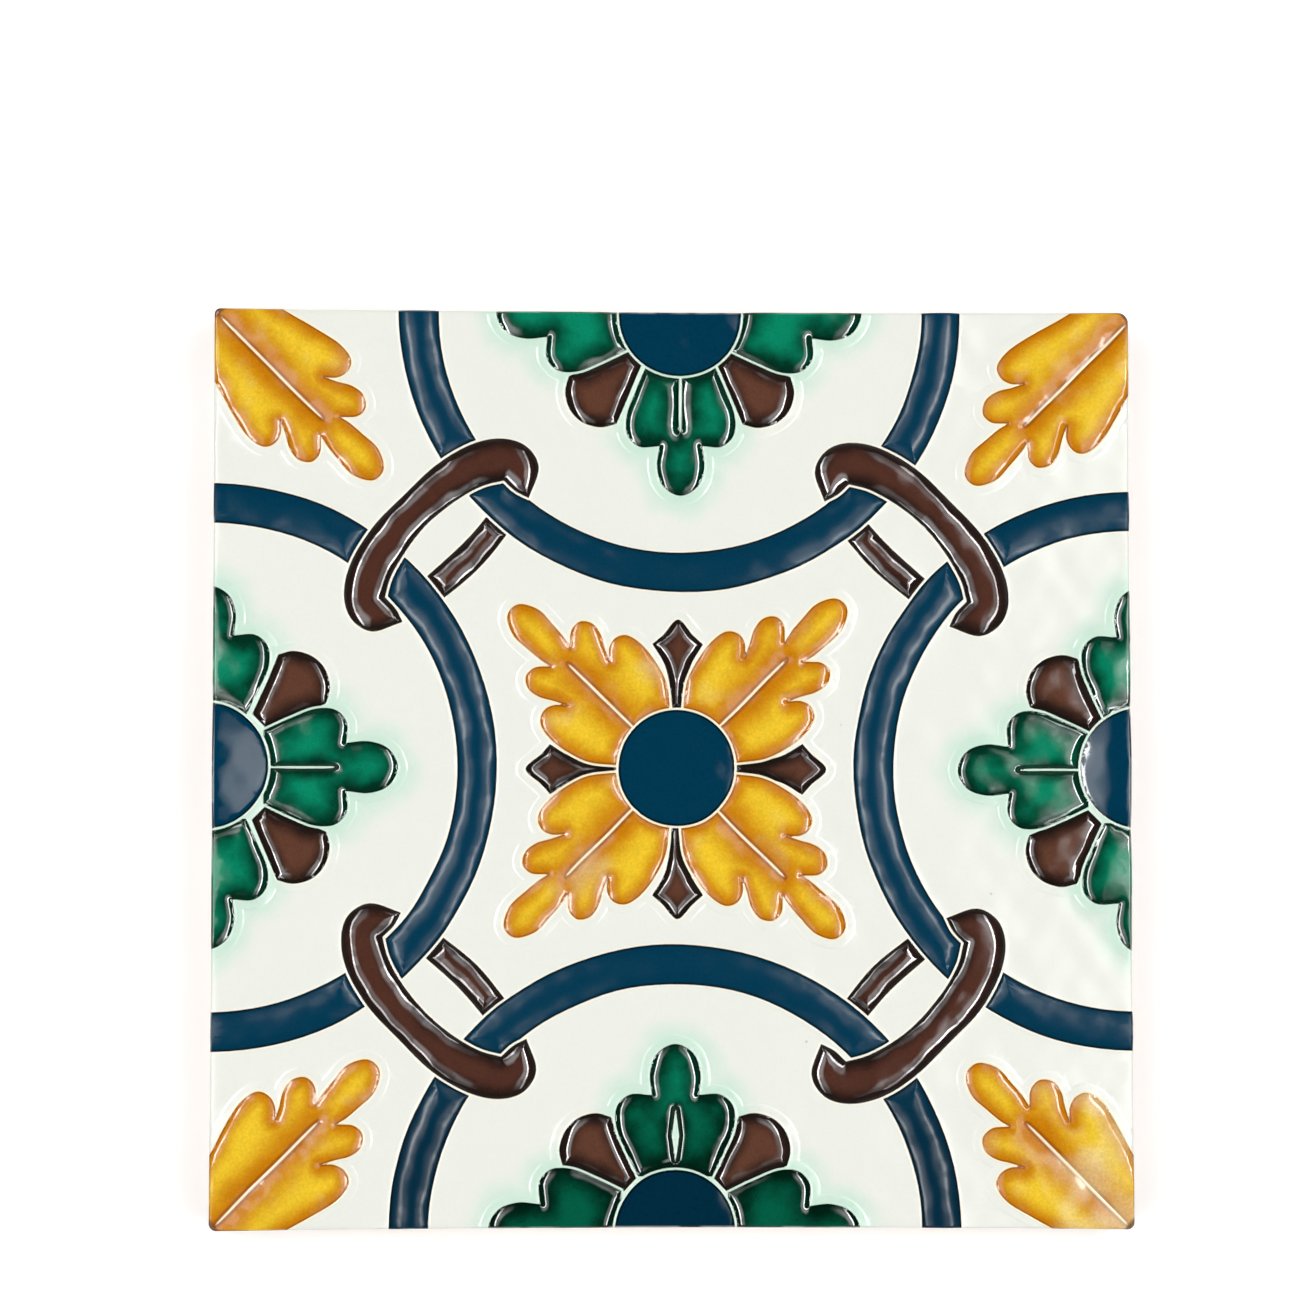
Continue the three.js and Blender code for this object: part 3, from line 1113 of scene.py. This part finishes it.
RING_BLUE = PooledGlaze(
    Sheet.RINGS, rim=(0.0005, 0.008, 0.016), shoulder=(0.0005, 0.036, 0.074), middle=(0.0005, 0.037, 0.076),
    rim_width=0.5, pool_width=2.5, cloud=0.5, roughness=0.18, specular=0.22, deeper_below=0.38, dull_patches=0.1)
DISC_BLUE = replace(RING_BLUE, sheet=Sheet.DISCS, roughness=0.08, specular=0.52, dull_patches=0.0)
# The amber carries a painted reflection: a whitish haze of the soft boxes in its colour.
AMBER = PooledGlaze(
    Sheet.LEAVES, rim=(0.32, 0.085, 0.003), shoulder=(0.54, 0.185, 0.003), middle=(0.80, 0.52, 0.026),
    rim_width=0.4, pool_width=3.3, cloud=0.8, roughness=0.1, specular=0.42, dull_patches=0.3, haze_reflection=0.4)
GREEN = PooledGlaze(
    Sheet.PETALS, rim=(0.001, 0.014, 0.008), shoulder=(0.001, 0.030, 0.015), middle=(0.003, 0.225, 0.118),
    rim_width=0.5, pool_width=5.0, cloud=2.2, roughness=0.05, specular=0.75, deeper_below=0.55,
    dull_patches=0.3)
BAR_BROWN = PooledGlaze(
    Sheet.BARS, rim=(0.009, 0.006, 0.004), shoulder=(0.018, 0.010, 0.008), middle=(0.078, 0.029, 0.019),
    rim_width=0.7, pool_width=2.7, cloud=0.9, roughness=0.05, specular=0.75, dull_patches=0.4)
BUD_BROWN = replace(BAR_BROWN, sheet=Sheet.BUDS, middle=(0.112, 0.045, 0.027), pool_width=3.1)


@dataclass(frozen=True)
class TileFinish:
    """The tile's finish: cream ground, white walls, pooled glazes and bare clay below the glaze line.

    Lengths are in mm, apart from those given times MM, which are in m. A Span holds where an effect starts and where
    it is full.
    """

    cream: Colour = (0.82, 0.83, 0.765)
    shade: Colour = (0.70, 0.72, 0.64)
    wall: Colour = (0.92, 0.88, 0.76)
    warm_wall: Colour = (0.93, 0.82, 0.55)
    mint: Colour = (0.52, 0.76, 0.62)
    speck: Colour = (0.42, 0.42, 0.38)
    # Painted reflection: the whitish haze of the soft boxes, mixed into the amber's colour.
    painted_haze_colour: Colour = (0.86, 0.76, 0.42)
    scorch: Colour = (0.10, 0.045, 0.020)
    thin: Colour = (0.58, 0.58, 0.50)
    clay: Colour = (0.62, 0.44, 0.31)
    pale_clay: Colour = (0.74, 0.64, 0.53)
    cream_roughness: float = 0.12
    cream_specular: float = 0.5
    clay_roughness: float = 0.85
    glass_index: float = 1.62
    glazes: tuple[PooledGlaze, ...] = (RING_BLUE, DISC_BLUE, AMBER, GREEN, BAR_BROWN, BUD_BROWN)
    edge_line: float = 0.06
    pool_clouds: float = 4.0
    pool_shift: float = 0.3
    deepening: Span = (-40.0 * MM, -58.0 * MM)
    dulling: Patches = Patches(3.2, 0.44, 0.56)
    # Where the painted haze reflection lies: clouds of this size, the span of their level, and a push towards the
    # south-east corner.
    haze_reflection_clouds: float = 9.0
    painted_haze: Span = (0.56, 0.84)
    haze_corner_reach: Span = (108 * MM, 128 * MM)
    corner_haze: float = 0.26
    grain: Clouds = Clouds(0.4, 0.5, 3.0)
    cream_grain: float = 0.1
    wall_line: Span = (0.32, 0.2)
    warm_line: Span = (0.5, 0.1)
    shading: Clouds = Clouds(14.0, 0.12)
    bleed: Span = (6.6, 1.2)
    bleed_clouds: Clouds = Clouds(5.0, 3.0)
    bleed_share: float = 0.8
    speck_cell: float = 3.2
    speck_chance: float = 0.10
    speck_radius: float = 0.09
    speck_share: float = 0.6
    worn_line: Span = (0.4, 0.1)
    worn_share: float = 0.5
    pale_wear: Patches = Patches(7.0, 0.46, 0.56)
    corner_wear: Span = (138.3 * MM, 139.3 * MM)
    corner_clouds: Clouds = Clouds(1.5, 1.2 * MM)
    corner_share: float = 0.85
    glaze_line: float = 8.6
    line_width: float = 0.25
    line_clouds: Clouds = Clouds(5.0, 2.6)
    clay_tone: Clouds = Clouds(1.1, 1.0, 6.0)
    dark_clay: float = 0.8
    smears: Patches = Patches(16.0, 0.55, 0.72, 3.0)
    smear_share: float = 0.5
    waves: Clouds = Clouds(2.2, 0.004, 3.0)
    grains: Clouds = Clouds(0.7, 0.12, 8.0)

    def material(self) -> bpy.types.Material:
        """The whole tile's material: the pools over the ground, then the wear, the bare clay and the unevenness.

        Returns:
            The material.
        """
        material = bpy.data.materials.new("glazed tile")
        material.use_nodes = True
        wiring = Wiring(material.node_tree)
        wiring.tree.nodes.clear()
        colour, roughness, specular, covered = self.glazed(wiring, self.ground(wiring))
        speckled = wiring.plus(wiring.times(self.grain.both_ways(wiring), covered), 1.0)
        colour = self.worn(wiring, wiring.tinted(colour, speckled), covered)
        colour, roughness, bare = self.bare_clay(wiring, colour, roughness)
        inputs = {"Base Color": colour, "Roughness": roughness, "Normal": self.unevenness(wiring, bare),
                  "IOR": self.glass_index, "Specular IOR Level": specular}
        shader = wiring.node("ShaderNodeBsdfPrincipled", inputs)
        wiring.node("ShaderNodeOutputMaterial", {"Surface": shader.outputs[0]})
        return material

    def glazed(self, wiring: Wiring, colour: Socket) -> tuple[Socket, ...]:
        """The pools of all glazes over the ground.

        Args:
            wiring: The material's wiring.
            colour: The ground's colour.

        Returns:
            The colour, the roughness, the specular level and the share that has coloured glaze.
        """
        x, y, _ = wiring.xyz
        lower = wiring.ramp(y, *self.deepening)
        dull = self.dulling.share(wiring)
        # Painted reflection: a whitish haze in cloudy patches, stronger towards the south-east corner.
        to_corner = wiring.ramp(wiring.less(x, y), *self.haze_corner_reach)
        clouds = Clouds(self.haze_reflection_clouds).noise(wiring, wiring.place)
        painted_haze = wiring.ramp(wiring.plus(clouds, wiring.times(to_corner, self.corner_haze)), *self.painted_haze)
        pools = pool_group()
        roughness, specular, covered = self.cream_roughness, self.cream_specular, self.cream_grain
        for number, glaze in enumerate(self.glazes):
            inner, cover = self.pool(wiring, pools, glaze, number)
            tone = wiring.less(1.0, wiring.times(lower, glaze.deeper_below))
            # The painted haze reflection is mixed into the glaze's colour.
            with_painted_haze = wiring.mix(wiring.times(painted_haze, glaze.haze_reflection), inner, self.painted_haze_colour)
            colour = wiring.mix(cover, colour, wiring.tinted(with_painted_haze, tone))
            shine = wiring.less(glaze.specular, wiring.times(dull, glaze.dull_patches))
            roughness = wiring.blend(cover, roughness, glaze.roughness)
            specular = wiring.blend(cover, specular, shine)
            covered = wiring.math("MAXIMUM", covered, cover)
        return colour, roughness, specular, covered

    def pool(self, wiring: Wiring, pools: bpy.types.NodeTree, glaze: PooledGlaze, number: int) -> tuple[Socket, ...]:
        """One glaze's pools.

        Args:
            wiring: The material's wiring.
            pools: The shared group of pooled glazes.
            glaze: The glaze.
            number: Its number, which sets its clouds apart from the others'.

        Returns:
            The colour, and the share of it that covers the ground.
        """
        shift = (number * self.pool_shift, 0.0, 0.0)
        shifted = wiring.node("ShaderNodeMapping", {"Vector": wiring.place, "Location": shift}).outputs[0]
        cloud = Clouds(self.pool_clouds, 2 * glaze.cloud).both_ways(wiring, shifted)
        inputs = {"Distance": wiring.attribute(glaze.sheet.value), "Cloud": cloud, "Rim": glaze.rim,
                  "Shoulder": glaze.shoulder, "Middle": glaze.middle, "Rim Width": glaze.rim_width,
                  "Pool Width": glaze.pool_width, "Softness": self.edge_line}
        return tuple(wiring.group(pools, inputs).outputs)

    def worn(self, wiring: Wiring, colour: Socket, covered: Socket) -> Socket:
        """Where the coloured glaze thins over the arris, here to a pale line and there to a dark one, and the corners.

        Args:
            wiring: The material's wiring.
            colour: The glazed colour.
            covered: The share that has coloured glaze.

        Returns:
            The colour with the wear.
        """
        arris = wiring.times(wiring.ramp(wiring.attribute("edge"), *self.worn_line), covered)
        line = wiring.mix(self.pale_wear.share(wiring), self.scorch, self.thin)
        colour = wiring.mix(wiring.times(arris, self.worn_share), colour, line)
        across, up = (wiring.math("ABSOLUTE", part) for part in wiring.xyz[:2])
        reach = wiring.plus(wiring.plus(across, up), self.corner_clouds.upward(wiring))
        corner = wiring.times(wiring.ramp(reach, *self.corner_wear), self.corner_share)
        return wiring.mix(corner, colour, self.scorch)

    def ground(self, wiring: Wiring) -> Socket:
        """The cream ground with its white walls, specks and the green's pale bleed.

        Args:
            wiring: The material's wiring.

        Returns:
            The colour.
        """
        distances = {glaze.sheet: wiring.attribute(glaze.sheet.value) for glaze in self.glazes}
        nearest = reduce(lambda least, other: wiring.math("MINIMUM", least, other), distances.values())
        by_leaf = wiring.ramp(distances[Sheet.LEAVES], *self.warm_line)
        wall = wiring.mix(by_leaf, self.wall, self.warm_wall)
        colour = wiring.mix(wiring.ramp(nearest, *self.wall_line), self.cream, wall)
        colour = wiring.mix(self.shading.upward(wiring), colour, self.shade)
        bleed = wiring.plus(distances[Sheet.PETALS], self.bleed_clouds.upward(wiring))
        colour = wiring.mix(wiring.times(wiring.ramp(bleed, *self.bleed), self.bleed_share), colour, self.mint)
        specks = wiring.group(speck_group(), {"Vector": wiring.place, "Size": self.speck_cell,
                                              "Share": self.speck_chance, "Radius": self.speck_radius})
        return wiring.mix(wiring.times(specks.outputs[0], self.speck_share), colour, self.speck)

    def bare_clay(self, wiring: Wiring, colour: Socket, roughness: Socket) -> tuple[Socket, ...]:
        """The body's clay where the glaze ends, a little below the face.

        Args:
            wiring: The material's wiring.
            colour: The glazed colour.
            roughness: The glazed roughness.

        Returns:
            The colour, the roughness and the share that is bare.
        """
        level = wiring.plus(wiring.times(wiring.xyz[2], 1 / MM), self.line_clouds.both_ways(wiring))
        bare = wiring.ramp(level, self.glaze_line, self.glaze_line - self.line_width)
        dark = tuple(self.dark_clay * part for part in self.clay)
        clay = wiring.mix(self.clay_tone.upward(wiring), dark, self.clay)
        clay = wiring.mix(wiring.times(self.smears.share(wiring), self.smear_share), clay, self.pale_clay)
        return wiring.mix(bare, colour, clay), wiring.blend(bare, roughness, self.clay_roughness), bare

    def unevenness(self, wiring: Wiring, bare: Socket) -> Socket:
        """The glaze's faint waves, and the clay's grain where it is bare."""
        height = wiring.times(wiring.blend(bare, self.waves.upward(wiring), self.grains.upward(wiring)), MM)
        return wiring.node("ShaderNodeBump", {"Height": height, "Strength": 1.0, "Distance": 1.0}).outputs[0]


@dataclass(frozen=True)
class SoftBox:
    """A long soft box on each side of the tile, aimed at it, in m.

    Its light grows softly over the span haze_rise, in shares of the way out across it, up to haze. From strip_start on
    it is brighter by strip. Away from the middle of its length it falls off over the span end_fall to the share ends.
    """

    reach: float = 0.30
    height: float = 0.872
    width: float = 0.40
    length: float = 1.4
    haze: float = 2.3
    haze_rise: Span = (0.05, 0.44)
    strip: float = 15.4
    strip_start: float = 0.79
    ends: float = 0.25
    end_fall: Span = (0.15, 0.45)

    def hang(self, side: int) -> None:
        """Hangs the soft box, turned to the tile's middle.

        Args:
            side: -1 for the left one and 1 for the right one.
        """
        light = bpy.data.lights.new("soft box", "AREA")
        light.shape = "RECTANGLE"
        light.size = self.width
        light.size_y = self.length
        light.energy = np.pi * self.width * self.length
        light.use_nodes = True
        self.spread(light.node_tree)
        holder = bpy.data.objects.new("soft box", light)
        place = Vector((side * self.reach, 0.0, self.height))
        away = place.normalized()
        along = Vector((0.0, float(side), 0.0))
        turn = Matrix((along.cross(away), along, away)).transposed().to_4x4()
        holder.matrix_world = Matrix.Translation(place) @ turn
        bpy.context.collection.objects.link(holder)

    def spread(self, tree: bpy.types.NodeTree) -> None:
        """Spreads the light over the soft box.

        Args:
            tree: The light's nodes.
        """
        wiring = Wiring(tree)
        place_on_it = wiring.node("ShaderNodeNewGeometry").outputs["Parametric"]
        outward, along, _ = wiring.node("ShaderNodeSeparateXYZ", {0: place_on_it}).outputs
        haze = wiring.times(wiring.ramp(outward, *self.haze_rise), self.haze)
        strip = wiring.times(wiring.math("GREATER_THAN", outward, self.strip_start), self.strip)
        from_middle = wiring.math("ABSOLUTE", wiring.less(along, 0.5))
        falloff = wiring.blend(wiring.ramp(from_middle, *self.end_fall), 1.0, self.ends)
        wiring.feed(tree.nodes["Emission"].inputs["Strength"], wiring.times(wiring.plus(haze, strip), falloff))


@dataclass(frozen=True)
class Studio:
    """A plain pale floor, soft lights to the left and right, and the camera over the tile.

    Lengths are in m, the lens and its sensor in mm, and the camera's tilt and lean in degrees. The fill light goes
    from nothing to full between two shares of the way up to the zenith.
    """

    floor_side: float = 4.0
    floor_colour: Colour = (0.94, 0.94, 0.94)
    floor_glow: float = 0.25
    soft_box: SoftBox = SoftBox()
    fill: float = 0.3
    fill_rise: Span = (0.75, 0.25)
    aim: tuple[float, float, float] = (-0.0035, 0.0179, 0.010)
    tilt: float = 3.98
    lean: float = -2.08
    distance: float = 0.70
    lens: float = 127.2
    sensor: float = 36.0
    nearest: float = 0.01

    def build(self) -> None:
        """Sets up the floor, the lights, the world and the camera."""
        self.floor()
        for side in (-1, 1):
            self.soft_box.hang(side)
        self.world()
        self.camera()
        bpy.context.scene.view_settings.view_transform = "Standard"

    def floor(self) -> None:
        """The floor, one plain square at height 0."""
        half = self.floor_side / 2
        corners = np.array([[-half, -half, 0], [half, -half, 0], [half, half, 0], [-half, half, 0]])
        floor = bpy.data.objects.new("floor", mesh_of("floor", corners, np.array([[0, 1, 2, 3]])))
        bpy.context.collection.objects.link(floor)
        material = bpy.data.materials.new("floor")
        material.use_nodes = True
        shader = material.node_tree.nodes["Principled BSDF"]
        looks = {"Base Color": self.floor_colour, "Roughness": 1.0, "Specular IOR Level": 0.0,
                 "Emission Color": self.floor_colour, "Emission Strength": self.floor_glow}
        for name, value in looks.items():
            Wiring(material.node_tree).feed(shader.inputs[name], value)
        floor.data.materials.append(material)

    def world(self) -> None:
        """Light from all round that is bright near the horizon and dark overhead."""
        world = bpy.data.worlds.new("studio")
        world.use_nodes = True
        wiring = Wiring(world.node_tree)
        direction = wiring.node("ShaderNodeTexCoord").outputs["Generated"]
        rise = wiring.node("ShaderNodeSeparateXYZ", {0: direction}).outputs[2]
        strength = wiring.times(wiring.ramp(rise, *self.fill_rise), self.fill)
        background = world.node_tree.nodes["Background"]
        wiring.feed(background.inputs["Color"], (1.0, 1.0, 1.0))
        wiring.feed(background.inputs["Strength"], strength)
        bpy.context.scene.world = world

    def camera(self) -> None:
        """The camera, over the tile and tilted a little as in the photo."""
        lens = bpy.data.cameras.new("camera")
        lens.lens = self.lens
        lens.sensor_width = self.sensor
        lens.clip_start = self.nearest
        camera = bpy.data.objects.new("camera", lens)
        tilt, lean = np.radians(self.tilt), np.radians(self.lean)
        away = Vector((np.sin(lean) * np.cos(tilt), -np.sin(tilt), np.cos(lean) * np.cos(tilt)))
        aim = Vector(self.aim)
        right = (-away).cross(Vector((0.0, 1.0, 0.0))).normalized()
        up = right.cross(-away)
        turn = Matrix((right, up, away)).transposed().to_4x4()
        camera.matrix_world = Matrix.Translation(aim + away * self.distance) @ turn
        bpy.context.collection.objects.link(camera)
        bpy.context.scene.camera = camera


def all_motifs() -> tuple[Motif, ...]:
    """Every motif of the face.

    Returns:
        The motifs, each one under those after it.
    """
    links = Links()
    return (
        *links.back_bars(),
        *Rings().motifs(),
        *links.front_bars(),
        *Rosette().motifs(),
        *CornerLeaves().motifs(),
        *(motif for flower in SIDE_FLOWERS for motif in flower.motifs()),
        *Discs().motifs(),
    )


def main() -> None:
    """Builds the tile and the studio. The imported tile stays in the scene, hidden."""
    logging.basicConfig(level=logging.INFO, format="%(name)s: %(message)s")
    relief = Relief(motifs=all_motifs())
    body = TileBody()
    tile = body.build(relief)
    body.dress(tile, TileFinish())
    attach(tile, "root")
    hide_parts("tile")
    log.info("%s: %d triangles, %d motifs", tile.name, len(tile.data.polygons), len(relief.motifs))
    Studio().build()


if __name__ == "__main__":
    main()
